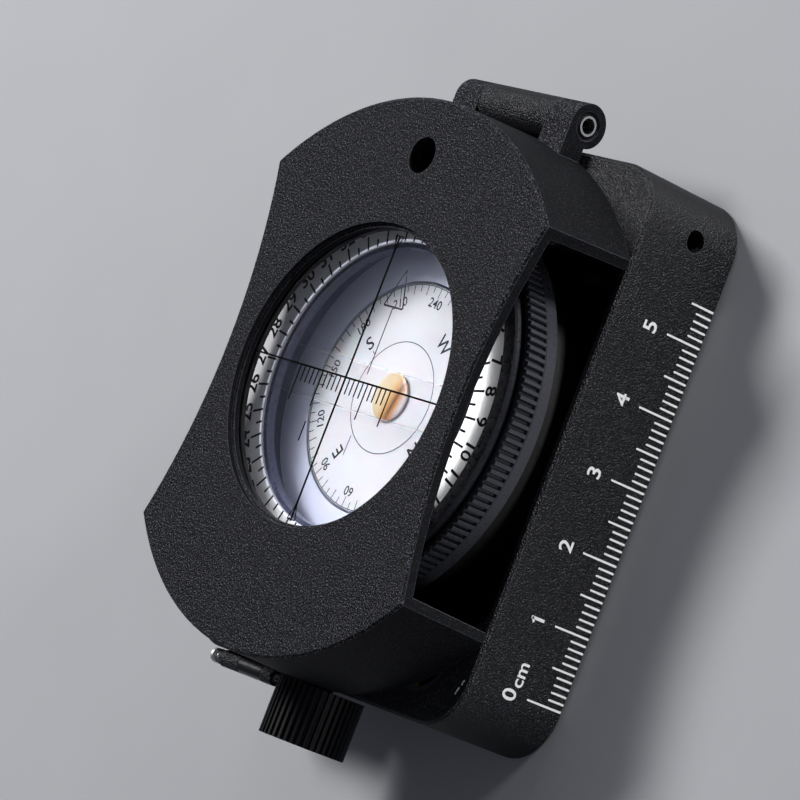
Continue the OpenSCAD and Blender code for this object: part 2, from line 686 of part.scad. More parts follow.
module cover_casting() color([0.1, 0.1, 0.11]) difference() {
  lug_in = barrel_w / 2 + lug_gap;
  union() {
    difference() {
      union() {
        turned([[0, base_h], [rim_r, base_h], [end_arc_r, cover_top - cover_edge],
          [end_arc_r - cover_edge, cover_top], [0, cover_top]]);
        for (s = [-1, 1]) {
          x0 = min(s * lug_in, s * (lug_in + lug_w));
          rod_x(barrel_r, x0, x0 + lug_w, hinge_y, hinge_z);
          block([x0, base_l / 2 - 4, base_h], [x0 + lug_w, hinge_y, hinge_z + barrel_r]);
        }
      }
      cover_inside();
      rod_x(barrel_r + part_gap, -lug_in, lug_in, hinge_y, hinge_z);
    }
    ring(window_glass_r + window_boss_wall, window_lip_r, boss_under, cover_top - 1);
  }
  for (s = [0, 180]) rotate([0, 0, s]) waist_cutter();
  translate([0, 0, cover_top - window_step_h]) cylinder(r = window_r, h = 2);
  translate([0, 0, boss_under - 1]) cylinder(r = window_lip_r, h = base_h);
  translate([0, 0, boss_under - 1]) cylinder(r = window_glass_r + fit_gap,
    h = window_top - boss_under + 1);
  translate([0, cover_hole_y, base_h]) cylinder(r = cover_hole_r, h = base_h);
  rod_x(pin_r, -base_w, base_w, hinge_y, hinge_z);
  rod_x(pin_seat_r, lug_in + lug_w - pin_seat_depth, base_w, hinge_y, hinge_z);
  rod_x(pin_seat_r, -base_w, pin_seat_depth - lug_in - lug_w, hinge_y, hinge_z);
}

module window_glass() color([0.85, 0.9, 0.95, 0.35]) translate([0, 0, window_under])
  cylinder(r = window_glass_r, h = window_glass_t);

module window_ring() color([0.12, 0.12, 0.13]) ring(window_glass_r + fit_gap,
  window_glass_r - window_ring_w, boss_under, window_under);

module hinge_pin() color("silver") difference() {
  half = barrel_w / 2 + lug_gap + lug_w;
  rod_x(pin_r, -half, half, hinge_y, hinge_z);
  rod_x(pin_bore_r, -half - 1, half + 1, hinge_y, hinge_z);
}

module bezel_ring() color([0.12, 0.12, 0.13]) {
  ledge_z = scale_z + 0.15;
  ledge_in_r = crystal_r - crystal_ledge;
  groove_z = rib_top - 0.8;
  lip_z = scale_z + scale_t + lip_h;
  turned([[bore_in_bezel, bezel_z], [bezel_r - 0.2, bezel_z], [bezel_r, bezel_z + 0.2],
    [bezel_r, rib_z - 0.15], [bezel_r - 0.15, rib_z], [rib_core_r, rib_z],
    [rib_core_r, rib_top - 0.2], [rib_core_r - 0.2, rib_top], [lip_r + 0.9, rib_top],
    [lip_r + 0.6, groove_z], [lip_r + 0.2, groove_z], [lip_r, lip_z - 0.25],
    [lip_r - 0.25, lip_z], [scale_r + 0.1, lip_z], [scale_r, lip_z - 0.1], [scale_r, scale_z],
    [crystal_r + fit_gap, scale_z], [crystal_r + fit_gap, ledge_z], [ledge_in_r, ledge_z],
    [ledge_in_r - 0.2, web_under - skirt_drop], [ledge_in_r + 0.8, web_under - skirt_drop],
    [ledge_in_r + 1, web_under], [bore_in_bezel, web_under],
    [bore_in_bezel, snap_z + snap_h / 2 + 0.1], [snap_out_r + 0.1, snap_z + snap_h / 2 + 0.1],
    [snap_out_r + 0.1, snap_z - snap_h / 2 - 0.1], [bore_in_bezel, snap_z - snap_h / 2 - 0.1]]);
  translate([0, 0, rib_z]) linear_extrude(rib_h) difference() {
    ribbed_outline(bezel_r, rib_depth, rib_count);
    circle(r = rib_core_r - 0.3);
  }
}

module scale_ring() color("white")
  ring(scale_r - glue_gap, crystal_r + fit_gap, scale_z, scale_z + scale_t);

module dial_crystal() color([0.85, 0.9, 0.95, 0.35]) translate([0, 0, scale_z + 0.15])
  turned([[0, 0], [crystal_r, 0], [crystal_r, crystal_t - 0.15], [crystal_r - 0.15, crystal_t],
    [0, crystal_t]]);

module compass_card() color("white") ring(card_r, hub_r, card_top - card_t, card_top);

module card_hub() color([0.8, 0.78, 0.7])
  turned([[post_r + 0.15, hub_bottom], [hub_r, hub_bottom], [hub_r, card_top],
    [hub_flange_r, card_top], [hub_flange_r - 0.1, jewel_seat_z], [jewel_r, jewel_seat_z],
    [jewel_r, jewel_z], [post_r + 0.15, jewel_z]]);

// The dome is turned from six conical bands
module pivot_jewel() color([0.95, 0.6, 0.15])
  turned(concat([[cup_r, jewel_z], [jewel_r, jewel_z], [jewel_r, jewel_seat_z],
    [jewel_head_r, jewel_seat_z]],
    [for (a = [0:15:90]) [jewel_head_r * cos(a), jewel_seat_z + jewel_head_h + jewel_dome_h * sin(a)]],
    [[0, jewel_z + cup_h]]));

module bar_magnet() color([0.35, 0.35, 0.38]) rotate([0, 0, card_north]) difference() {
  z0 = card_top - card_t - magnet_t;
  block([-magnet_l / 2, -magnet_w / 2, z0], [magnet_l / 2, magnet_w / 2, z0 + magnet_t]);
  translate([0, 0, z0 - 1]) cylinder(r = hub_r, h = magnet_t + 2);
}

module clamp_knob() color([0.11, 0.11, 0.12]) translate([0, knob_y, knob_z])
  rotate([90, 0, 0]) difference() {
    union() {
      linear_extrude(knob_l) ribbed_outline(knob_r, knob_rib_depth, knob_ribs);
      translate([0, 0, -knob_collar]) cylinder(r = bush_r, h = knob_collar + 0.5);
    }
    translate([0, 0, knob_l - knob_recess])
      cylinder(r = knob_r - knob_dish_wall, h = knob_recess + through);
    translate([0, 0, -1]) cylinder(r = shaft_r, h = knob_l + 2);
  }

module knob_shaft() color("silver") difference() {
  union() {
    rod_y(shaft_r, knob_y - knob_l + knob_recess, cam_y, 0, knob_z);
    translate([0, cam_y + cam_t / 2, knob_z]) rotate([90, 0, 0]) linear_extrude(cam_t)
      cam_outline();
  }
  rod_y(knob_screw_r, knob_y - knob_l - through, knob_y - knob_l + knob_screw_l, 0, knob_z);
}

// A steady spiral over the quarter turn that lifts the card, then a plain arc
module cam_outline() {
  lead = 30;
  quarter = 90;
  polygon([for (a = [0:6:354]) let (
      t = a > 2 * quarter ? -lead : min(a, quarter + lead),
      r = cam_r + cam_rise * t / quarter)
    [r * sin(a), -r * cos(a)]]);
}

module knob_screw() color("silver") translate([0, knob_y - knob_l, knob_z])
  rotate([90, 0, 0]) difference() {
    union() {
      translate([0, 0, -knob_recess]) cylinder(r = knob_screw_head_r, h = knob_screw_head_h);
      translate([0, 0, -knob_screw_l])
        cylinder(r = knob_screw_r, h = knob_screw_l - knob_recess + eps);
    }
    block([-knob_screw_head_r - 1, -screw_slot_w / 2, knob_screw_head_h - knob_recess - screw_slot_h],
      [knob_screw_head_r + 1, screw_slot_w / 2, through]);
  }

module clamp_lever() color("silver") difference() {
  union() {
    block([-lever_w / 2, cam_y - cam_t / 2, lever_top - lever_t], [lever_w / 2, -fork_l, lever_top]);
    block([-fork_w / 2, -fork_l, lever_top - lever_t], [fork_w / 2, pad_r, lever_top]);
    rod_x(pad_r, -fork_w / 2, fork_w / 2, 0, pad_z);
    rod_x(lever_pin_r + lever_eye, -lever_w / 2, lever_w / 2, -lever_nose, lever_mid);
  }
  block([-post_r - fork_gap, -fork_l + lever_t, 0], [post_r + fork_gap, fork_l, base_h]);
  rod_x(lever_pin_r + run_gap, -bracket_w, bracket_w, -lever_nose, lever_mid);
}

module lift_sleeve() color([0.78, 0.66, 0.36]) turned([[sleeve_in_r, flange_z],
  [flange_r, flange_z], [flange_r, flange_z + flange_t], [sleeve_r, flange_z + flange_t],
  [sleeve_r, sleeve_top], [sleeve_in_r, sleeve_top]]);

module lens_leaf() color([0.11, 0.11, 0.12]) difference() {
  union() {
    rod_x(knuckle_r, knuckle_x[2], knuckle_x[3], lens_y, lens_z);
    block([knuckle_x[2], leaf_back_y - leaf_t, lens_z - leaf_drop],
      [knuckle_x[3], leaf_back_y, lens_z]);
    rod_y(lens_r + lens_rim, leaf_back_y - leaf_t, leaf_back_y, leaf_x, lens_z - leaf_drop);
  }
  rod_x(lens_pin_r + run_gap, -base_w, 0, lens_y, lens_z);
  rod_y(lens_r, -base_l, 0, leaf_x, lens_z - leaf_drop);
}

// A lens turned from a few conical bands on each side
module reading_lens() color([0.85, 0.92, 1, 0.35]) {
  bulge = 0.4;
  edge_t = leaf_t - 2 * bulge;
  bands = 6;
  side = [for (i = [0:bands]) let (u = 1 - i / bands)
    [lens_r * u, edge_t / 2 + bulge * (1 - u * u)]];
  translate([leaf_x, leaf_back_y - leaf_t / 2, lens_z - leaf_drop]) rotate([90, 0, 0])
    turned(concat([[0, -edge_t / 2 - bulge]], [for (i = [bands - 1:-1:0]) [side[i][0], -side[i][1]]],
      side));
}

base_casting();
bottom_plate();
bottom_screws();
tripod_bush();
compass_bowl();
bowl_screws();
card_well();
dial_surround();
pivot_post();
bezel_seal();
bezel_snap_ring();
shaft_bush();
lever_bracket();
lever_pin();
lift_spring();
level_cup();
level_liquid();
level_glass();
lens_hinge_pin();
lens_spring();
cover_casting();
window_glass();
window_ring();
hinge_pin();
bezel_ring();
scale_ring();
dial_crystal();
compass_card();
card_hub();
pivot_jewel();
bar_magnet();
clamp_knob();
knob_shaft();
knob_screw();
clamp_lever();
lift_sleeve();
lens_leaf();
reading_lens();
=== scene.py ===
# %% [markdown]
# # A handheld sighting compass
# The real object is a small cast box with a hinged cover. A ribbed bezel and a floating card sit
# between them, seen through a window. The frame that is loaded here already holds every solid at
# its real size, so this lesson adds what a solid model can't hold: finishes, printed marks, a
# bubble, soft edges and a coiled spring.

# %% Load the frame
import bpy
import bmesh
from math import radians, pi, atan2
from mathutils import Matrix, Vector


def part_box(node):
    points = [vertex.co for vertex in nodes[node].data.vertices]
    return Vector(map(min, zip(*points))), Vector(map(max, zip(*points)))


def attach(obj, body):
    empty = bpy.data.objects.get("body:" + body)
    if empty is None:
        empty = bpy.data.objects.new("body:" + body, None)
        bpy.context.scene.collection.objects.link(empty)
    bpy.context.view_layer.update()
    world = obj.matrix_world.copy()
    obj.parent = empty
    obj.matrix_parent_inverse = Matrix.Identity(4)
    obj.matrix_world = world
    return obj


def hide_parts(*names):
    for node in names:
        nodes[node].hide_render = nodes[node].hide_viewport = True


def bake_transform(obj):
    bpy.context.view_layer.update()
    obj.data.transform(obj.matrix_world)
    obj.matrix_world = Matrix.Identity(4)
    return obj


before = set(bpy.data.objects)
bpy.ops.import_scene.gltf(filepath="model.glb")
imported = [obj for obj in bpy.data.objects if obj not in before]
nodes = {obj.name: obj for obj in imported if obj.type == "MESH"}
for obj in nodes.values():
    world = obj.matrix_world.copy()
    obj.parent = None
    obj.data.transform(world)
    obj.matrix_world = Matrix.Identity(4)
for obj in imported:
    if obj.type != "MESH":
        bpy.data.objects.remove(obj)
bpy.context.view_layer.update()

# %% [markdown]
# ## Units and colours
# Blender works in metres, and a compass is easier to think of in millimetres. The lengths below are
# in millimetres until they are multiplied by MM. Colours are written as the hex values that a
# colour picker shows. The shaders need them linear, so one function turns them.

# %% Helpers for units and colours
MM = 0.001


def mm(*values):
    """Millimetres to a vector in metres."""
    return Vector(values) * MM


def per(size_mm):
    """A texture scale whose features are about size_mm across."""
    return 1.0 / (size_mm * MM)


def linear(code):
    """An sRGB hex value as linear red, green, blue and a full alpha."""
    parts = [int(code[i:i + 2], 16) / 255 for i in (1, 3, 5)]
    return [c / 12.92 if c <= 0.04045 else ((c + 0.055) / 1.055) ** 2.4 for c in parts] + [1.0]


print("mid grey is", [round(c, 3) for c in linear("#808080")])

# %% [markdown]
# ## Camera
# The picture was taken from the ruler side, about 40 degrees up, with the camera rolled so that the
# compass seems to stand on its knob end. The camera's place and axes were worked out from the ruler
# and the round parts. They are rounded here, so the axes are squared up again.

# %% Camera
LENS_MM = 211.4
SENSOR_MM = 36
NEAREST_M = 0.01
camera_place = Vector((0.4750, -0.0373, 0.4067))
camera_right = Vector((0.6058, 0.3596, -0.7097))
camera_up = Vector((-0.1832, 0.9311, 0.3154))
camera_back = camera_right.cross(camera_up).normalized()
camera_up = camera_back.cross(camera_right).normalized()

camera_data = bpy.data.cameras.new("camera")
camera_data.lens = LENS_MM
camera_data.sensor_width = SENSOR_MM
camera_data.clip_start = NEAREST_M
camera = bpy.data.objects.new("camera", camera_data)
bpy.context.scene.collection.objects.link(camera)
axes = Matrix((camera_right.normalized(), camera_up, camera_back)).transposed()
camera.matrix_world = Matrix.Translation(camera_place) @ axes.to_4x4()
bpy.context.scene.camera = camera
print("camera is", round(camera_place.length, 3), "m from the origin")

# %% [markdown]
# ## Nodes
# Every finish is a tree of shader nodes, and each node takes several lines to make, set and link.
# One function does all three for any node. Another starts a material with nothing but its output.
# No real surface has one even colour, so a third mixes two near ones by a noise. The noise lies in
# object space, where it keeps its size and moves with the part.

# %% Helpers for shader nodes
def add(tree, kind, links=(), **settings):
    """A node with its settings, and its inputs linked or set from (input, source) pairs."""
    node = tree.nodes.new(kind)
    for name, value in settings.items():
        setattr(node, name, value)
    for socket, source in links:
        if isinstance(source, bpy.types.NodeSocket):
            tree.links.new(source, node.inputs[socket])
        else:
            node.inputs[socket].default_value = source
    return node


def new_material(name):
    """An empty material, its tree and its output node."""
    material = bpy.data.materials.new(name)
    material.use_nodes = True
    material.node_tree.nodes.clear()
    output = material.node_tree.nodes.new("ShaderNodeOutputMaterial")
    return material, material.node_tree, output


def two_tone(tree, colours, size_mm, detail=2.0, roughness=0.5):
    """The tone that a noise about size_mm across mixes from two colours, and the noise."""
    coordinates = add(tree, "ShaderNodeTexCoord")
    noise = add(tree, "ShaderNodeTexNoise", [("Vector", coordinates.outputs["Object"]),
        ("Scale", per(size_mm)), ("Detail", detail), ("Roughness", roughness)])
    tone = add(tree, "ShaderNodeMix", [("Factor", noise.outputs["Fac"]),
        ("A", linear(colours[0])), ("B", linear(colours[1]))], data_type="RGBA")
    return tone.outputs["Result"], noise.outputs["Fac"]


NOISE_LOW, NOISE_HIGH = 0.3, 0.7
print("most of a noise lies between", NOISE_LOW, "and", NOISE_HIGH)

# %% [markdown]
# ## Studio
# Black parts show mostly what they reflect, so they stand on a pale floor. It is matt paper with a
# faint mottle. It could lie level with the base's underside, but two faces in one plane flicker, so
# it lies a hair lower.

# %% Floor
FLOOR_HALF_M = 3.0
FLOOR_GAP = 0.05
PAPER_MOTTLE = 25
floor_material, tree, output = new_material("matt pale studio paper")
tone, _ = two_tone(tree, ("#b0b1b4", "#b6b7ba"), PAPER_MOTTLE)
paper = add(tree, "ShaderNodeBsdfPrincipled", [("Base Color", tone), ("Roughness", 0.9)])
tree.links.new(paper.outputs["BSDF"], output.inputs["Surface"])

floor_mesh = bpy.data.meshes.new("floor")
floor = bpy.data.objects.new("floor", floor_mesh)
bpy.context.scene.collection.objects.link(floor)
bm = bmesh.new()
bmesh.ops.create_grid(bm, x_segments=1, y_segments=1, size=FLOOR_HALF_M)
bmesh.ops.translate(bm, verts=bm.verts, vec=(0, 0, -FLOOR_GAP * MM))
bm.to_mesh(floor_mesh)
bm.free()
floor_mesh.materials.append(floor_material)
print("floor is", round(floor.dimensions.x, 1), "m wide")

# %% [markdown]
# Four square lamps act as softboxes. The overhead one stands beyond the compass as the camera sees
# it, so the flat tops mirror its light. The rim lamp stands low past the hinge and skims the ruler
# side. Two weaker ones lift the ruler side and the hinge end, and a dim bluish room fills the rest.

# %% Lamps and room
def softbox(name, place, target, size, power):
    """A square area lamp that faces its target."""
    data = bpy.data.lights.new(name, "AREA")
    data.shape = "SQUARE"
    data.size = size
    data.energy = power
    lamp = bpy.data.objects.new(name, data)
    lamp.location = place
    lamp.rotation_euler = (Vector(target) - Vector(place)).to_track_quat("-Z", "Y").to_euler()
    bpy.context.scene.collection.objects.link(lamp)


softbox("overhead", (-0.51, 0.32, 0.79), (0, 0, 0.02), 0.27, 9.0)
softbox("rim", (0.66, 0.80, 0.05), (0.03, 0.03, 0.01), 0.2, 13.0)
softbox("low side", (0.90, -0.38, 0.05), (0.03, 0, 0.01), 0.25, 2.0)
softbox("back", (-0.05, 0.90, 0.45), (0.0, 0.03, 0.03), 0.25, 1.0)

ROOM_STRENGTH = 0.15
room = bpy.data.worlds.new("soft grey room")
bpy.context.scene.world = room
room.use_nodes = True
backdrop = room.node_tree.nodes["Background"]
backdrop.inputs["Color"].default_value = linear("#c0c6da")
backdrop.inputs["Strength"].default_value = ROOM_STRENGTH
bpy.context.scene.view_settings.view_transform = "Standard"

# %% [markdown]
# ## Black powder coat
# The two castings are aluminium, dusted with black polyester powder and baked. Their edges are
# rounded a little, and catch the light. Rounding every edge in the mesh would take many
# more faces, so a bevel in the shading does it. Where the bevel turns the normal away from the
# face's own there is an edge, and the tone there is mixed with a paler one, a painted highlight.
# EDGE_LIGHT_TURN holds the cosines of that turn at which the painted highlight starts and is full.

# %% Painted edge highlight
EDGE = 0.15
EDGE_LIGHT_TURN = (0.98, 0.8)
EDGE_LIGHT_MOST = 0.7
EDGE_LIGHT_TONE = "#6c6c76"


def worn_edges(tree, tone):
    """A tone with a painted highlight at the edges, and the normal that rounds them."""
    soft_edge = add(tree, "ShaderNodeBevel", [("Radius", EDGE * MM)], samples=4)
    surface = add(tree, "ShaderNodeNewGeometry")
    turned = add(tree, "ShaderNodeVectorMath", [(0, soft_edge.outputs["Normal"]),
        (1, surface.outputs["True Normal"])], operation="DOT_PRODUCT")
    # Painted highlight: the tone turns paler where the bevel turns the normal at an edge.
    edge_light = add(tree, "ShaderNodeMapRange", [("Value", turned.outputs["Value"]),
        ("From Min", EDGE_LIGHT_TURN[0]), ("From Max", EDGE_LIGHT_TURN[1]), ("To Min", 0.0), ("To Max", EDGE_LIGHT_MOST)])
    lit_edge = add(tree, "ShaderNodeMix", [("Factor", edge_light.outputs["Result"]), ("A", tone),
        ("B", linear(EDGE_LIGHT_TONE))], data_type="RGBA")
    return lit_edge.outputs["Result"], soft_edge.outputs["Normal"]


print("edges are rounded to", EDGE, "mm")

# %% [markdown]
# The powder melts into a skin of small soft lumps about a quarter of a millimetre across. There are
# thousands of them, so they aren't modelled. A noise in object space drives a bump, and makes the
# crests paler than the hollows, a painted glint, so that they read as fine specks. Faces that look
# along one axis get other lumps and other painted glints than the rest, and the fainter the lumps,
# the more matt the coat. On the cover only the upward faces get pale crests in full, so its top is
# painted lighter than its walls. CREST holds the levels of the noise, and FACING the cosines,
# between which each of these grows.

# %% Powder coat
GRAIN = 0.23
LUMP = 0.24
CREST = (0.56, 0.68)
FACING = (0.5, 0.8)
MATT, SMOOTH = 0.75, 0.4


def powder_coat(name, hollow, crest, index, axis, across, along):
    """Baked powder, with lumps of one strength across the axis and of another along it."""
    material, tree, output = new_material(name)
    coordinates = add(tree, "ShaderNodeTexCoord")
    lumps = add(tree, "ShaderNodeTexNoise", [("Vector", coordinates.outputs["Object"]),
        ("Scale", per(GRAIN)), ("Detail", 1.0), ("Roughness", 0.5)])
    size = add(tree, "ShaderNodeVectorMath", [(0, coordinates.outputs["Normal"])],
        operation="ABSOLUTE")
    facing = add(tree, "ShaderNodeSeparateXYZ", [("Vector", size.outputs["Vector"])])
    strength = add(tree, "ShaderNodeMapRange", [("Value", facing.outputs[axis]),
        ("From Min", FACING[0]), ("From Max", FACING[1]), ("To Min", across), ("To Max", along)])
    crests = add(tree, "ShaderNodeMapRange", [("Value", lumps.outputs["Fac"]),
        ("From Min", CREST[0]), ("From Max", CREST[1]), ("To Min", 0.0),
        ("To Max", strength.outputs["Result"])])
    # Painted glint: the crests are mixed towards the paler colour.
    tone = add(tree, "ShaderNodeMix", [("Factor", crests.outputs["Result"]), ("A", linear(hollow)),
        ("B", linear(crest))], data_type="RGBA")
    rough = add(tree, "ShaderNodeMapRange", [("Value", strength.outputs["Result"]),
        ("From Min", 0.0), ("From Max", 1.0), ("To Min", MATT), ("To Max", SMOOTH)])
    edge_lit_tone, rounded = worn_edges(tree, tone.outputs["Result"])
    bump = add(tree, "ShaderNodeBump", [("Height", lumps.outputs["Fac"]),
        ("Strength", strength.outputs["Result"]), ("Distance", LUMP * MM), ("Normal", rounded)])
    skin = add(tree, "ShaderNodeBsdfPrincipled", [("Base Color", edge_lit_tone),
        ("Roughness", rough.outputs["Result"]), ("Normal", bump.outputs["Normal"]),
        ("IOR", index)])
    tree.links.new(skin.outputs["BSDF"], output.inputs["Surface"])
    return material


# The crest colours are painted glints. The cover's are the paler, a painted highlight on its upward
# faces.
coat = powder_coat("black powder coat", "#020305", "#34343c", 1.4, "Y", 1.0, 0.25)
cover_coat = powder_coat("black powder coat on the cover", "#040508", "#60606c", 1.24, "Z",
    0.12, 1.0)
print("grain is", GRAIN, "mm across on", coat.name)

# %% [markdown]
# ## Satin blacks, plated and plain metals
# The bezel and the knob are turned aluminium, anodised black. The coat is thin and hard, so edges
# and turning marks stay crisp. Pins and screws are nickel plated, the bushes are bare brass, and
# the bowl and the bottom plate are lacquered. They differ only in colour, gloss and the size of
# their marks, so one function makes them all, and the rubber of the seal too.

# %% Metals
MARK_DEPTH = 0.02
SPREAD = 0.12


def metal(name, colours, metallic, roughness, mark_mm, bump_strength, specular=0.5):
    """A metal, lacquer or rubber whose fine marks vary its roughness and its bump."""
    material, tree, output = new_material(name)
    tone, marks = two_tone(tree, colours, mark_mm, 4.0, 0.6)
    rough = add(tree, "ShaderNodeMapRange", [("Value", marks), ("From Min", NOISE_LOW),
        ("From Max", NOISE_HIGH), ("To Min", roughness - SPREAD / 2),
        ("To Max", roughness + SPREAD / 2)])
    bump = add(tree, "ShaderNodeBump", [("Height", marks), ("Strength", bump_strength),
        ("Distance", MARK_DEPTH * MM)])
    skin = add(tree, "ShaderNodeBsdfPrincipled", [("Base Color", tone), ("Metallic", metallic),
        ("Roughness", rough.outputs["Result"]), ("Specular IOR Level", specular),
        ("Normal", bump.outputs["Normal"])])
    tree.links.new(skin.outputs["BSDF"], output.inputs["Surface"])
    return material


anodised = metal("black anodised aluminium", ("#08090d", "#0c0d12"), 0.0, 0.55, 0.5, 0.35, 0.25)
# The bezel's black is paler than the knob's, a painted highlight for its lit ribs.
bezel_black_painted_light = metal("black anodised bezel with painted light", ("#1c1d22", "#24252b"), 0.0, 0.3, 0.5, 0.35)
lacquer = metal("satin black lacquer", ("#0d0e10", "#111214"), 0.0, 0.34, 0.8, 0.25)
inner_black = metal("matt black lacquer", ("#0b0b0d", "#101012"), 0.0, 0.6, 0.8, 0.3)
nickel = metal("nickel plate", ("#b9b9ba", "#cfcfce"), 1.0, 0.25, 0.3, 0.3)
# The lens pin's nickel is paler than the other nickel, a painted highlight for its bright end.
satin_nickel_highlight = metal("satin nickel plate with painted highlight", ("#d6d6d6", "#e4e4e2"), 1.0, 0.5, 0.3, 0.3)
steel = metal("bright drawn steel", ("#9a9b9e", "#b2b3b5"), 1.0, 0.32, 0.2, 0.4)
brass = metal("turned brass", ("#b08d4c", "#c9a763"), 1.0, 0.3, 0.3, 0.4)
magnet_metal = metal("ground magnet alloy", ("#55565a", "#66676a"), 1.0, 0.5, 0.3, 0.6)
rubber = metal("moulded nitrile rubber", ("#0d0d0e", "#131314"), 0.0, 0.75, 0.4, 0.4)
print("metals made")

# %% [markdown]
# The bezel isn't one even black. Its bore is navy, like the ring beneath it, which is painted
# shade:
# the tone of the wall in shadow. The tips of its ribs are a little paler, a painted highlight where
# they catch the light. Each is a matter of distance from the axis, so one function mixes in a
# second colour on one side of a radius.

# %% Painted shade and highlight on the bezel
BORE_R = 20.2
TIP_DEPTH = 0.25


def dye(material, radius_mm, colour, side):
    """A second colour where the distance from Z is LESS_THAN or GREATER_THAN a radius."""
    tree = material.node_tree
    skin = next(n for n in tree.nodes if n.type == "BSDF_PRINCIPLED")
    tone = skin.inputs["Base Color"].links[0].from_socket
    coordinates = add(tree, "ShaderNodeTexCoord")
    flat = add(tree, "ShaderNodeVectorMath", [(0, coordinates.outputs["Object"]),
        (1, (1, 1, 0))], operation="MULTIPLY")
    radius = add(tree, "ShaderNodeVectorMath", [(0, flat.outputs["Vector"])], operation="LENGTH")
    there = add(tree, "ShaderNodeMath", [(0, radius.outputs["Value"]), (1, radius_mm * MM)],
        operation=side)
    radius_tone = add(tree, "ShaderNodeMix", [("Factor", there.outputs["Value"]), ("A", tone),
        ("B", linear(colour))], data_type="RGBA")
    tree.links.new(radius_tone.outputs["Result"], skin.inputs["Base Color"])


rib_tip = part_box("bezel_ring")[1].x / MM
# Painted shade: navy inside BORE_R.
dye(bezel_black_painted_light, BORE_R, "#4a4e68", "LESS_THAN")
# Painted highlight: paler rib tips.
dye(bezel_black_painted_light, rib_tip - TIP_DEPTH, "#34353b", "GREATER_THAN")
print("ribs reach", round(rib_tip, 2), "mm from the axis")

# %% [markdown]
# ## Plastics
# The scale ring is white ABS, the card is a thin translucent white disc, and its well is moulded in
# a pale lavender grey. All are smooth, so their bump is faint. The card lets some light in under
# its surface, which costs less than a body that light has to find its way through.

# %% Plastics
MOTTLE = 2.5
SKIN_GRAIN = 0.2
SKIN_DEPTH = 0.02
SKIN_BUMP = 0.15


def plastic(name, colours, roughness, glow_through=0.0, depth_mm=0.5):
    """Moulded plastic with a faint mottle, which may let light in under its surface."""
    material, tree, output = new_material(name)
    tone, _ = two_tone(tree, colours, MOTTLE, 3.0)
    coordinates = add(tree, "ShaderNodeTexCoord")
    fine = add(tree, "ShaderNodeTexNoise", [("Vector", coordinates.outputs["Object"]),
        ("Scale", per(SKIN_GRAIN))])
    bump = add(tree, "ShaderNodeBump", [("Height", fine.outputs["Fac"]), ("Strength", SKIN_BUMP),
        ("Distance", SKIN_DEPTH * MM)])
    skin = add(tree, "ShaderNodeBsdfPrincipled", [("Base Color", tone), ("Roughness", roughness),
        ("Normal", bump.outputs["Normal"]), ("IOR", 1.49), ("Subsurface Weight", glow_through),
        ("Subsurface Scale", depth_mm * MM)])
    tree.links.new(skin.outputs["BSDF"], output.inputs["Surface"])
    return material


scale_white = plastic("white ABS scale ring", ("#e6e6e6", "#efefee"), 0.4)
card_white = plastic("translucent white card", ("#dfe0e2", "#e6e7e8"), 0.45, 0.3, 0.4)
well_grey = plastic("pale lavender moulding", ("#dadff2", "#e0e5f8"), 0.45)
# The surround's navy is painted shade, the tone of the wall in shadow.
surround_navy_shade = plastic("navy moulding with painted shade", ("#4a4e66", "#545870"), 0.5)
hub_cream = plastic("cream acetal hub", ("#d8cfb8", "#e2dac6"), 0.35)
level_grey = plastic("dark grey level cup", ("#2c2d2f", "#36373a"), 0.45)
print("plastics made")

# %% [markdown]
# ## Clear parts
# The dial's crystal and the level's glass are thin, so light goes nearly straight through them. A
# clear shader mixed with a mirror by Fresnel keeps what lies beneath in its place, and gives the
# bright reflections at a slant. A full glass shader would bend the marks that lie close under it.

# %% Thin clear sheets
def clear_sheet(name, tint, index):
    """Thin clear glass: straight through, with a mirror by angle on its outer side only."""
    material, tree, output = new_material(name)
    through = add(tree, "ShaderNodeBsdfTransparent", [("Color", linear(tint))])
    mirror = add(tree, "ShaderNodeBsdfGlossy", [("Roughness", 0.05)])
    angle = add(tree, "ShaderNodeFresnel", [("IOR", index)])
    side = add(tree, "ShaderNodeNewGeometry")
    outside = add(tree, "ShaderNodeMath", [(0, 1.0), (1, side.outputs["Backfacing"])],
        operation="SUBTRACT")
    amount = add(tree, "ShaderNodeMath", [(0, angle.outputs["Fac"]),
        (1, outside.outputs["Value"])], operation="MULTIPLY")
    both = add(tree, "ShaderNodeMixShader", [("Fac", amount.outputs["Value"]),
        (1, through.outputs["BSDF"]), (2, mirror.outputs["BSDF"])])
    tree.links.new(both.outputs["Shader"], output.inputs["Surface"])
    return material


level_clear = clear_sheet("thin level glass", "#f6f8fb", 1.5)
crystal_clear = clear_sheet("acrylic dial crystal", "#fcfcfd", 1.35)
print("sheets", level_clear.name, "and", crystal_clear.name)

# %% [markdown]
# The window and the reading lens are thicker, and shift or bend what is seen through them. They get
# a glass shader. Light from a lamp can't find its way through bent glass, so for shadows the glass
# counts as clear.

# %% Thick glass
def thick_glass(name, tint, index):
    """Glass that bends what is seen through it, and lets the lamps shine through."""
    material, tree, output = new_material(name)
    glass = add(tree, "ShaderNodeBsdfGlass", [("Color", linear(tint)), ("Roughness", 0.0),
        ("IOR", index)])
    shine = add(tree, "ShaderNodeBsdfTransparent", [("Color", linear(tint))])
    path = add(tree, "ShaderNodeLightPath")
    both = add(tree, "ShaderNodeMixShader", [("Fac", path.outputs["Is Shadow Ray"]),
        (1, glass.outputs["BSDF"]), (2, shine.outputs["BSDF"])])
    tree.links.new(both.outputs["Shader"], output.inputs["Surface"])
    return material


window_clear = thick_glass("coated window glass", "#fbfbfc", 1.5)
lens_clear = thick_glass("polished lens glass", "#f2f8f8", 1.5)
print("glasses", window_clear.name, "and", lens_clear.name)

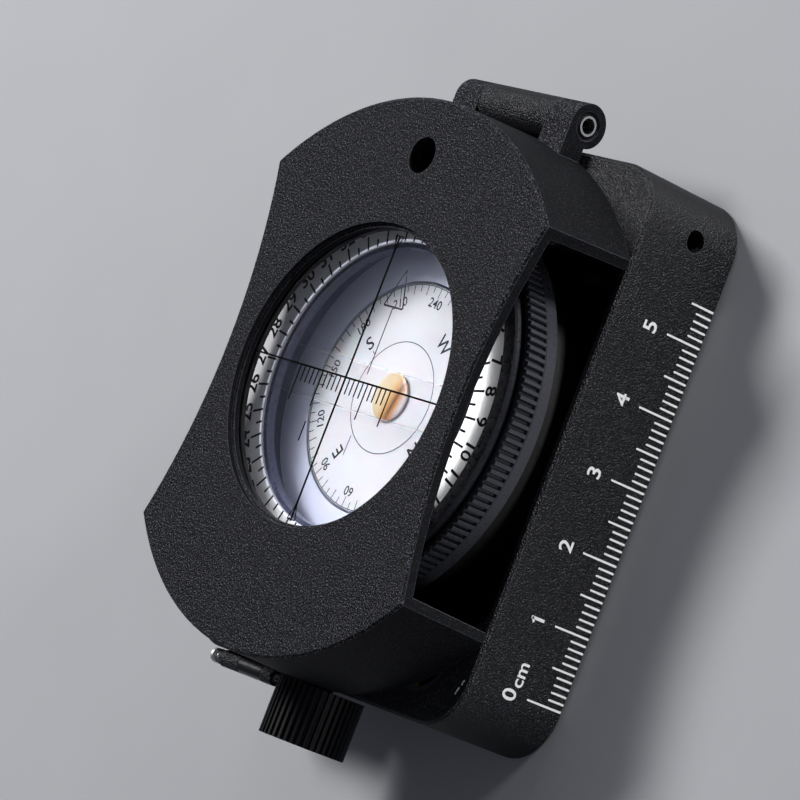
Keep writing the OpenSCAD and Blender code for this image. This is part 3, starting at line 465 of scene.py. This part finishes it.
# %% [markdown]
# The jewel in the card's middle and the level's liquid are coloured through and through. Both are
# small and lit from above, so a tinted surface that lets a little light pass looks right, and costs
# less than light scattered inside a body.

# %% Tinted bodies
CLOUD = 1.2


def tinted(name, colours, roughness, clear):
    """A solid tinted body, clear in part."""
    material, tree, output = new_material(name)
    tone, _ = two_tone(tree, colours, CLOUD)
    skin = add(tree, "ShaderNodeBsdfPrincipled", [("Base Color", tone), ("Roughness", roughness),
        ("IOR", 1.45), ("Transmission Weight", clear)])
    tree.links.new(skin.outputs["BSDF"], output.inputs["Surface"])
    return material


amber = tinted("amber jewel", ("#cf7f1c", "#f0b458"), 0.22, 0.15)
spirit = tinted("yellow-green spirit", ("#c6da3c", "#d6ea50"), 0.08, 0.12)
print("tinted", amber.name, "and", spirit.name)

# %% [markdown]
# The jewel bends the light it takes in, and its tone runs across its width from cream to amber,
# then through a dark brown band to a white glint. The cream is a painted reflection, the brown band
# is painted shade and the white is a painted glint. A ramp of colours along one line across the
# jewel stands for that. A new ramp has a stop at each end, so only the tones between need stops of
# their own.

# %% Painted light and shade across the jewel
JEWEL_R = 3.3
JEWEL_LINE = (0.96, -0.26, 0)
JEWEL_PAINTED_TONES = ((0.0, "#f6e7c6"), (0.45, "#f3d69c"), (0.62, "#e2a14a"), (0.72, "#6f4a22"),
    (0.8, "#d98e35"), (1.0, "#ffffff"))
tree = amber.node_tree
amber_skin = next(n for n in tree.nodes if n.type == "BSDF_PRINCIPLED")
coordinates = add(tree, "ShaderNodeTexCoord")
lean = add(tree, "ShaderNodeVectorMath", [(0, coordinates.outputs["Object"]), (1, JEWEL_LINE)],
    operation="DOT_PRODUCT")
along = add(tree, "ShaderNodeMapRange", [("Value", lean.outputs["Value"]),
    ("From Min", -JEWEL_R * MM), ("From Max", JEWEL_R * MM)])
# Painted reflection, shade and glint, along one line across the jewel.
painted_ramp = add(tree, "ShaderNodeValToRGB", [("Fac", along.outputs["Result"])])
stops = painted_ramp.color_ramp.elements
for position, _ in JEWEL_PAINTED_TONES[1:-1]:
    stops.new(position)
for stop, (_, code) in zip(stops, JEWEL_PAINTED_TONES):
    stop.color = linear(code)
tree.links.new(painted_ramp.outputs["Color"], amber_skin.inputs["Base Color"])
print("jewel has", len(stops), "tones")

# %% [markdown]
# ## Finishes for the frame's solids
# Each solid keeps its shape, and only its material changes. The table reads as a parts list, so a
# finish is easy to find from a solid's name.

# %% Give each solid its finish
finishes = {
    coat: ["base_casting"],
    cover_coat: ["cover_casting"],
    lacquer: ["bottom_plate", "lens_leaf"],
    inner_black: ["window_ring", "compass_bowl"],
    bezel_black_painted_light: ["bezel_ring"],
    anodised: ["clamp_knob"],
    nickel: ["bottom_screws", "bowl_screws", "knob_screw", "hinge_pin"],
    satin_nickel_highlight: ["lens_hinge_pin"],
    steel: ["pivot_post", "lever_pin", "knob_shaft", "lever_bracket", "clamp_lever",
        "lift_spring", "bezel_snap_ring", "lens_spring"],
    brass: ["tripod_bush", "shaft_bush", "lift_sleeve"],
    magnet_metal: ["bar_magnet"],
    rubber: ["bezel_seal"],
    scale_white: ["scale_ring"],
    card_white: ["compass_card"],
    well_grey: ["card_well"],
    surround_navy_shade: ["dial_surround"],
    hub_cream: ["card_hub"],
    level_grey: ["level_cup"],
    window_clear: ["window_glass"],
    level_clear: ["level_glass"],
    crystal_clear: ["dial_crystal"],
    lens_clear: ["reading_lens"],
    amber: ["pivot_jewel"],
    spirit: ["level_liquid"],
}
for material, names in finishes.items():
    for name in names:
        nodes[name].data.materials.clear()
        nodes[name].data.materials.append(material)
print("without a finish:", sorted(set(nodes) - {n for names in finishes.values() for n in names}))

# %% [markdown]
# ## Printed marks
# The marks are ink a few hundredths of a millimetre thick. They could be painted in a texture, but
# shapes stay sharp at any distance. So each mark is a flat shape laid just clear of what it is
# printed on, and every set of marks that moves together is one mesh.

# %% Inks
INK = 0.02
INK_GRAIN = 0.35


def ink(name, colours, roughness):
    """Screen printing ink, a little uneven."""
    material, tree, output = new_material(name)
    tone, _ = two_tone(tree, colours, INK_GRAIN)
    skin = add(tree, "ShaderNodeBsdfPrincipled", [("Base Color", tone), ("Roughness", roughness),
        ("Specular IOR Level", 0.05)])
    tree.links.new(skin.outputs["BSDF"], output.inputs["Surface"])
    return material


white_ink = ink("white pad-printing ink", ("#d6d6d6", "#ececec"), 0.55)
black_ink = ink("black screen ink", ("#040406", "#08080b"), 0.8)
grey_ink = ink("thin grey screen ink", ("#26262c", "#33333b"), 0.6)
print("ink stands", INK, "mm proud")

# %% [markdown]
# A bmesh holds one set of marks while it grows. Each helper adds one kind of mark to it at a place,
# which is a matrix, so that the same bar serves on the ruler, the dial and the window.

# %% Helpers for places and bars
UP = Vector((0, 0, 1))
SIDEWAYS = Vector((1, 0, 0))


def plane_at(height):
    """The horizontal plane at this height in metres."""
    return Matrix.Translation((0, 0, height))


def spot(x, y, degrees=0):
    """A place on a plane, x and y millimetres from its origin and turned about its normal."""
    return Matrix.Translation(mm(x, y, 0)) @ Matrix.Rotation(radians(degrees), 4, "Z")


def bar(bm, place, length, width, round_ends=False):
    """A bar from the place's origin along its Y, centred on X."""
    if round_ends:
        start = bmesh.ops.create_circle(bm, cap_ends=True, segments=12, radius=width / 2)
        far = [v for v in start["verts"] if v.co.y > 1e-9]
        bmesh.ops.translate(bm, verts=start["verts"], vec=(0, width / 2, 0))
        bmesh.ops.translate(bm, verts=far, vec=(0, length - width, 0))
    else:
        start = bmesh.ops.create_grid(bm, x_segments=1, y_segments=1, size=0.5)
        bmesh.ops.scale(bm, verts=start["verts"], vec=(width, length, 1))
        bmesh.ops.translate(bm, verts=start["verts"], vec=(0, length / 2, 0))
    bmesh.ops.transform(bm, matrix=place, verts=start["verts"])


print("a plane 1 mm up is at", round(plane_at(1 * MM).translation.z, 4), "m")

# %% Helper for letters and figures
CAPITAL_SHARE = 0.72


def letters(bm, place, words, height, bold=0.0):
    """Words centred on the place's origin, as tall as height in capitals or figures."""
    curve = bpy.data.curves.new("words", "FONT")
    curve.body = words
    curve.align_x = "CENTER"
    curve.align_y = "CENTER"
    curve.size = height / CAPITAL_SHARE
    curve.offset = bold * height
    curve.resolution_u = 4
    text = bpy.data.objects.new("words", curve)
    bpy.context.scene.collection.objects.link(text)
    bpy.context.view_layer.update()
    depsgraph = bpy.context.evaluated_depsgraph_get()
    mesh = bpy.data.meshes.new_from_object(text.evaluated_get(depsgraph))
    mesh.transform(place)
    bm.from_mesh(mesh)
    bpy.data.objects.remove(text)
    bpy.data.curves.remove(curve)
    bpy.data.meshes.remove(mesh)


print("a capital fills", CAPITAL_SHARE, "of the font's size")

# %% Helpers for outlines, rings and a finished set
RING_SEGMENTS = 96


def outline(bm, place, points, width):
    """A closed line through the points, in the place's own plane."""
    for a, b in zip(points, points[1:] + points[:1]):
        along = b - a
        turned = Matrix.Rotation(atan2(-along.x, along.y), 4, "Z")
        step = Matrix.Translation((*a, 0)) @ turned
        bar(bm, place @ step, along.length, width, True)


def ring_line(bm, place, radius, width, segments=RING_SEGMENTS):
    """A thin flat ring."""
    inner = bmesh.ops.create_circle(bm, segments=segments, radius=radius - width / 2)
    edges = list({e for v in inner["verts"] for e in v.link_edges})
    made = bmesh.ops.extrude_edge_only(bm, edges=edges)
    outer = [g for g in made["geom"] if isinstance(g, bmesh.types.BMVert)]
    grow = (radius + width / 2) / (radius - width / 2)
    bmesh.ops.scale(bm, verts=outer, vec=(grow, grow, 1))
    bmesh.ops.transform(bm, matrix=place, verts=outer + inner["verts"])


def finish_piece(bm, name, body, material, normal=None):
    """The set as an object that rides on a body. Flat marks are turned to face along normal."""
    if normal is not None:
        bm.normal_update()
        wrong = [f for f in bm.faces if f.normal.dot(normal) < 0]
        bmesh.ops.reverse_faces(bm, faces=wrong)
    mesh = bpy.data.meshes.new(name)
    bm.to_mesh(mesh)
    bm.free()
    piece = bpy.data.objects.new(name, mesh)
    bpy.context.scene.collection.objects.link(piece)
    mesh.materials.append(material)
    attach(piece, body)
    print(name, len(mesh.polygons), "faces, rides on", body)


print("a ring has", RING_SEGMENTS, "segments unless a set asks otherwise")

# %% [markdown]
# ## Ruler
# The side face carries a white scale in whole millimetres. Its long ticks stand at the centimetres,
# with middle ones at the halves, and all start at the base's lower edge. The figures read along the
# side. A ruler is a loop over its ticks, so nothing is drawn by hand.

# %% Ruler on the side face
base_low, base_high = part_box("base_casting")
side_x = base_high.x + INK * MM
side_plane = Matrix(((0, 0, 1, side_x), (1, 0, 0, 0), (0, 1, 0, 0), (0, 0, 0, 1)))
RULER_ZERO_Y = -30.5
RULER_LAST = 55
TICK_START_Z = 0.45
LONG_Z, MIDDLE_Z, SHORT_Z = 6.7, 4.6, 3.3
RULER_LINE = 0.3

bm = bmesh.new()
for tick in range(RULER_LAST + 1):
    top = LONG_Z if tick % 10 == 0 else MIDDLE_Z if tick % 5 == 0 else SHORT_Z
    place = side_plane @ spot(RULER_ZERO_Y + tick, TICK_START_Z)
    bar(bm, place, (top - TICK_START_Z) * MM, RULER_LINE * MM, True)
finish_piece(bm, "ruler_ticks", "base", white_ink, SIDEWAYS)

# %% [markdown]
# The figures stand above the long ticks, with the 0 a little off its own. The plain typeface's 1
# has a faint flag, so a short bar makes it plainer. The unit stands between 0 and 1.

# %% Ruler figures
FIGURE_Z = 9.7
FIGURE_TALL = 2.35
ZERO_OFF = 0.2
FLAG_Y, FLAG_Z, FLAG_DEGREES = 0.1, 1.1, 125
FLAG_LONG, FLAG_WIDE = 0.8, 0.32
UNIT_Y, UNIT_LOWER, UNIT_TALL = -27.9, 0.55, 2.05
RULER_BOLD = 0.02
bm = bmesh.new()
for number in range(6):
    y = RULER_ZERO_Y + 10 * number - (ZERO_OFF if number == 0 else 0)
    letters(bm, side_plane @ spot(y, FIGURE_Z), str(number), FIGURE_TALL * MM, RULER_BOLD)
    if number == 1:
        flag = side_plane @ spot(y + FLAG_Y, FIGURE_Z + FLAG_Z, FLAG_DEGREES)
        bar(bm, flag, FLAG_LONG * MM, FLAG_WIDE * MM)
letters(bm, side_plane @ spot(UNIT_Y, FIGURE_Z - UNIT_LOWER), "cm", UNIT_TALL * MM, RULER_BOLD)
finish_piece(bm, "ruler_figures", "base", white_ink, SIDEWAYS)

# %% [markdown]
# ## Bezel scale
# The white ring is marked clockwise in tens of degrees, with zero towards the hinge. Every ten
# degrees has a long tick, and every five a short one, from the inner edge outward. The tops of the
# figures point outward.

# %% Scale ring marks
ring_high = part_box("scale_ring")[1]
ring_top = ring_high.z + INK * MM
RING_INNER = 19.98
RING_TEN, RING_FIVE, RING_LINE = 2.0, 1.1, 0.32
RING_FIGURE_R, RING_FIGURE_TALL, RING_BOLD = 23.1, 2.0, 0.03


def radial(bearing, radius, height):
    """A place at this bearing, clockwise from the hinge, with its Y pointing outward."""
    turned = Matrix.Rotation(-radians(bearing), 4, "Z")
    return turned @ Matrix.Translation((0, radius * MM, height))


bm = bmesh.new()
for step in range(72):
    reach = RING_TEN if step % 2 == 0 else RING_FIVE
    bar(bm, radial(step * 5, RING_INNER, ring_top), reach * MM, RING_LINE * MM)
for tens in range(36):
    place = radial(tens * 10, RING_FIGURE_R, ring_top)
    letters(bm, place, str(tens), RING_FIGURE_TALL * MM, RING_BOLD)
finish_piece(bm, "scale_marks", "bezel", black_ink, UP)

# %% [markdown]
# ## Dial crystal
# An outlined arrow is printed on the crystal and turns with the bezel, with a line from its foot to
# the middle. A bar along each side of a triangle makes the outline.

# %% Arrow on the crystal
crystal_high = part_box("dial_crystal")[1]
arrow_plane = plane_at(crystal_high.z + INK * MM)
ARROW_TIP, ARROW_FOOT, ARROW_HALF, ARROW_LINE = 16.06, 10.85, 2.0, 0.28
SHAFT_START, SHAFT_LONG, SHAFT_LINE = 1.5, 9.3, 0.2
corners = [mm(0, ARROW_TIP), mm(-ARROW_HALF, ARROW_FOOT), mm(ARROW_HALF, ARROW_FOOT)]
bm = bmesh.new()
outline(bm, arrow_plane, corners, ARROW_LINE * MM)
bar(bm, arrow_plane @ spot(0, SHAFT_START), SHAFT_LONG * MM, SHAFT_LINE * MM)
finish_piece(bm, "crystal_arrow", "bezel", grey_ink, UP)

# %% [markdown]
# Acrylic pipes light along to its edge, so the crystal ends in a thin bright line between the
# ticks. The renderer would need many samples to find that light, so a faint glow in the edge's
# material stands for it.

# %% Bright edge of the crystal
GLOW_LEAST, GLOW_MOST = 0.35, 0.9
RIM_R, RIM_WIDE = 20.14, 0.34
FINE_SEGMENTS = 144
rim_material, tree, output = new_material("light-piping acrylic edge")
coordinates = add(tree, "ShaderNodeTexCoord")
flecks = add(tree, "ShaderNodeTexNoise", [("Vector", coordinates.outputs["Object"]),
    ("Scale", per(2.0))])
glow = add(tree, "ShaderNodeMapRange", [("Value", flecks.outputs["Fac"]),
    ("From Min", NOISE_LOW), ("From Max", NOISE_HIGH), ("To Min", GLOW_LEAST),
    ("To Max", GLOW_MOST)])
edge_skin = add(tree, "ShaderNodeBsdfPrincipled", [("Base Color", linear("#e6e8ee")),
    ("Roughness", 0.3), ("Emission Color", linear("#dfe3f2")),
    ("Emission Strength", glow.outputs["Result"])])
tree.links.new(edge_skin.outputs["BSDF"], output.inputs["Surface"])

bm = bmesh.new()
ring_line(bm, plane_at(ring_high.z + 0.5 * INK * MM), RIM_R * MM, RIM_WIDE * MM, FINE_SEGMENTS)
finish_piece(bm, "crystal_rim", "bezel", rim_material, UP)

# %% [markdown]
# ## Card
# The card is marked in degrees clockwise from north, with figures every thirty degrees, four
# letters, a thin ring inside them and another near the card's edge. Its north mark lies where the
# magnet points in the picture. One short tick stands by itself, and another stands by the S.

# %% Card marks
card_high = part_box("compass_card")[1]
card_top = card_high.z + INK * MM
card_plane = plane_at(card_top)
NORTH_DEG = -36.0
TICK_OUTER, CARD_TEN, CARD_FIVE, CARD_LINE = 15.6, 1.4, 0.9, 0.13
DEGREE_R, DEGREE_TALL, LETTER_TALL, CARD_BOLD = 13.4, 1.3, 2.0, 0.015
CARD_LETTERS = (("N", 0, 9.8), ("E", 90, 10.9), ("S", 180, 10.2), ("W", 270, 10.3))
LONE_X, LONE_Y, LONE_DEGREES, LONE_LONG = -5.2, -9.1, -2, 2.8
SOUTH_R, SOUTH_LONG, LONE_LINE = 8.3, 0.5, 0.14
CARD_RINGS = ((7.7, RING_SEGMENTS), (15.65, FINE_SEGMENTS))
CARD_RING_LINE = 0.12


def on_card(bearing, radius):
    """A place on the card, clockwise from its north mark."""
    return radial(bearing + 90 - NORTH_DEG, radius, card_top)


bm = bmesh.new()
for step in range(72):
    reach = CARD_TEN if step % 2 == 0 else CARD_FIVE
    bar(bm, on_card(step * 5, TICK_OUTER - reach), reach * MM, CARD_LINE * MM)
for degree in range(0, 360, 30):
    letters(bm, on_card(degree, DEGREE_R), str(degree), DEGREE_TALL * MM, CARD_BOLD)
for letter, degree, radius in CARD_LETTERS:
    letters(bm, on_card(degree, radius), letter, LETTER_TALL * MM, CARD_BOLD)
lone_place = card_plane @ spot(LONE_X, LONE_Y, LONE_DEGREES)
bar(bm, lone_place, LONE_LONG * MM, LONE_LINE * MM)
bar(bm, on_card(180, SOUTH_R), SOUTH_LONG * MM, LONE_LINE * MM)
for radius, segments in CARD_RINGS:
    ring_line(bm, card_plane, radius * MM, CARD_RING_LINE * MM, segments)
finish_piece(bm, "card_marks", "card", grey_ink, UP)

# %% [markdown]
# A thin clear strip spans the bowl just above the card, from wall to wall. It is frosted, so it
# lifts the tone of what lies under it a little, and its two edges catch the light. It is too thin
# for its thickness to show, so three flat bars do.

# %% Frosted strip over the card
def frosted(name, colour, cover):
    """A matt skin that hides only part of what is behind it."""
    material, tree, output = new_material(name)
    coordinates = add(tree, "ShaderNodeTexCoord")
    uneven = add(tree, "ShaderNodeTexNoise", [("Vector", coordinates.outputs["Object"]),
        ("Scale", per(3.0)), ("Detail", 2.0)])
    amount = add(tree, "ShaderNodeMapRange", [("Value", uneven.outputs["Fac"]),
        ("From Min", NOISE_LOW), ("From Max", NOISE_HIGH), ("To Min", cover * 0.7),
        ("To Max", cover * 1.3)])
    matt = add(tree, "ShaderNodeBsdfDiffuse", [("Color", linear(colour))])
    gap = add(tree, "ShaderNodeBsdfTransparent")
    both = add(tree, "ShaderNodeMixShader", [("Fac", amount.outputs["Result"]),
        (1, gap.outputs["BSDF"]), (2, matt.outputs["BSDF"])])
    tree.links.new(both.outputs["Shader"], output.inputs["Surface"])
    return material


STRIP_HALF, STRIP_END, STRIP_LIFT, STRIP_EDGE = 3.2, 20.9, 1.1, 0.16
STRIP_EDGE_LIFT = 0.01
strip_place = plane_at(card_high.z + STRIP_LIFT * MM) @ spot(-STRIP_END, 0, -90)
strip_skin = frosted("frosted clear strip", "#e9ebf0", 0.06)
bm = bmesh.new()
bar(bm, strip_place, 2 * STRIP_END * MM, 2 * STRIP_HALF * MM)
finish_piece(bm, "card_strip", "base", strip_skin, UP)

strip_edge = frosted("bright edge of the strip", "#f6f7fa", 0.35)
bm = bmesh.new()
for side in (-1, 1):
    edge = Matrix.Translation((0, side * STRIP_HALF * MM, STRIP_EDGE_LIFT * MM))
    bar(bm, edge @ strip_place, 2 * STRIP_END * MM, STRIP_EDGE * MM)
finish_piece(bm, "card_strip_edges", "base", strip_edge, UP)

# %% [markdown]
# ## Sighting lines in the window
# The window has a hairline along its whole length towards the hinge, a line across it, a comb of
# fine ticks below the cross line with a dash beside them, and a pointer at each end of the
# hairline. They are printed on the glass, so they ride on the cover.

# %% Window lines
window_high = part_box("window_glass")[1]
window_plane = plane_at(window_high.z + INK * MM)
HAIR_START, HAIR_LONG, HAIR_LINE = -19.9, 39.4, 0.416
CROSS_START, CROSS_LONG, CROSS_LINE = -20.2, 40.4, 0.26
COMB_STEP, COMB_LONG, COMB_SHORT, COMB_LINE = 0.965, 4.95, 2.2, 0.27
DASH_X, DASH_Y, DASH_LONG, DASH_LINE = -4.5, -7.0, 2.7, 0.28
POINTERS = ((17.5, 19.6), (-17.4, -19.7))
POINTER_HALF, POINTER_LINE = 0.85, 0.2

bm = bmesh.new()
bar(bm, window_plane @ spot(0, HAIR_START), HAIR_LONG * MM, HAIR_LINE * MM)
bar(bm, window_plane @ spot(CROSS_START, 0, -90), CROSS_LONG * MM, CROSS_LINE * MM)
for tick in range(-10, 11):
    reach = COMB_LONG if tick % 5 == 0 else COMB_SHORT
    bar(bm, window_plane @ spot(tick * COMB_STEP, 0, 180), reach * MM, COMB_LINE * MM)
bar(bm, window_plane @ spot(DASH_X, DASH_Y, 180), DASH_LONG * MM, DASH_LINE * MM)
for tip, foot in POINTERS:
    corners = [mm(0, tip), mm(-POINTER_HALF, foot), mm(POINTER_HALF, foot)]
    outline(bm, window_plane, corners, POINTER_LINE * MM)
finish_piece(bm, "window_lines", "cover", black_ink, UP)

# %% [markdown]
# ## Bubble level
# The level's glass has a thin black ring that the bubble is brought into. The bubble is a flattened
# drop of air under the glass. A ball squashed to a third of its height is close to its shape.

# %% Bubble and its ring
glass_low, glass_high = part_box("level_glass")
level_middle = (glass_low + glass_high) / 2
LEVEL_RING_R, LEVEL_RING_LINE, LEVEL_RING_SEGMENTS = 1.7, 0.18, 48
BUBBLE_R, BUBBLE_SQUASH, BUBBLE_DEPTH = 1.1, 0.35, 0.36
ring_place = Matrix.Translation((level_middle.x, level_middle.y, glass_high.z + INK * MM))
bm = bmesh.new()
ring_line(bm, ring_place, LEVEL_RING_R * MM, LEVEL_RING_LINE * MM, LEVEL_RING_SEGMENTS)
finish_piece(bm, "level_ring", "base", black_ink, UP)

bubble_air = clear_sheet("air in the level", "#f4f8d8", 1.25)
bubble_place = (level_middle.x, level_middle.y, glass_low.z - BUBBLE_DEPTH * MM)
bm = bmesh.new()
bmesh.ops.create_uvsphere(bm, u_segments=32, v_segments=16, radius=BUBBLE_R * MM)
bmesh.ops.scale(bm, verts=bm.verts, vec=(1, 1, BUBBLE_SQUASH))
bmesh.ops.translate(bm, verts=bm.verts, vec=bubble_place)
for face in bm.faces:
    face.smooth = True
finish_piece(bm, "level_bubble", "base", bubble_air)

# %% [markdown]
# A few small white strokes stand on the base's top face beside the level. They are too small to
# read, so they are kept as plain strokes. The casting's box includes its hinge lugs, so the top
# face is found from the base's own height.

# %% Small strokes beside the level
BASE_TALL = 16.7
STROKE = 0.3
STROKES = ((27.1, -33.2, -20, 0.35), (27.2, -32.85, -21, 0.75), (27.75, -31.85, 10, 0.4),
    (27.65, -31.5, -43, 0.5))
top_plane = plane_at(base_low.z + BASE_TALL * MM + INK * MM)
bm = bmesh.new()
for x, y, degrees, length in STROKES:
    bar(bm, top_plane @ spot(x, y, degrees), length * MM, STROKE * MM, True)
finish_piece(bm, "base_strokes", "base", white_ink, UP)

# %% [markdown]
# ## Return spring
# The spring between the lift sleeve and the card's well shortens as the sleeve rises. A rigid solid
# can't do that. A coil made by spinning a circle up round the axis takes its place here, at one
# length.

# %% Wire of the return spring
spring_low, spring_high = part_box("lift_spring")
WIRE_R = 0.2
WIRE_SIDES = 8
TURNS = 4
STEPS = 24
coil_r = (spring_high.x - spring_low.x) / 2 - WIRE_R * MM
rise = spring_high.z - spring_low.z - 2 * WIRE_R * MM
start_place = Matrix.Translation((coil_r, 0, spring_low.z + WIRE_R * MM))
section = start_place @ Matrix.Rotation(pi / 2, 4, "X")
bm = bmesh.new()
bmesh.ops.create_circle(bm, segments=WIRE_SIDES, radius=WIRE_R * MM, matrix=section)
bmesh.ops.spin(bm, geom=bm.verts[:] + bm.edges[:], cent=(0, 0, 0), axis=(0, 0, 1),
    angle=2 * pi * TURNS, dvec=(0, 0, rise / (TURNS * STEPS)), steps=TURNS * STEPS)
bmesh.ops.holes_fill(bm, edges=[e for e in bm.edges if e.is_boundary], sides=0)
bmesh.ops.recalc_face_normals(bm, faces=bm.faces)
for face in bm.faces:
    face.smooth = True
spring_mesh = bpy.data.meshes.new("return_spring")
bm.to_mesh(spring_mesh)
bm.free()
print("spring", len(spring_mesh.polygons), "faces over", round(rise / MM, 2), "mm")

# %% Return spring between base and sleeve
spring_mesh.materials.append(steel)
spring = bpy.data.objects.new("return_spring", spring_mesh)
bpy.context.scene.collection.objects.link(spring)
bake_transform(spring)
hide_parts("lift_spring")
print("spring stands", round(spring_low.z / MM, 2), "to", round(spring_high.z / MM, 2), "mm up")
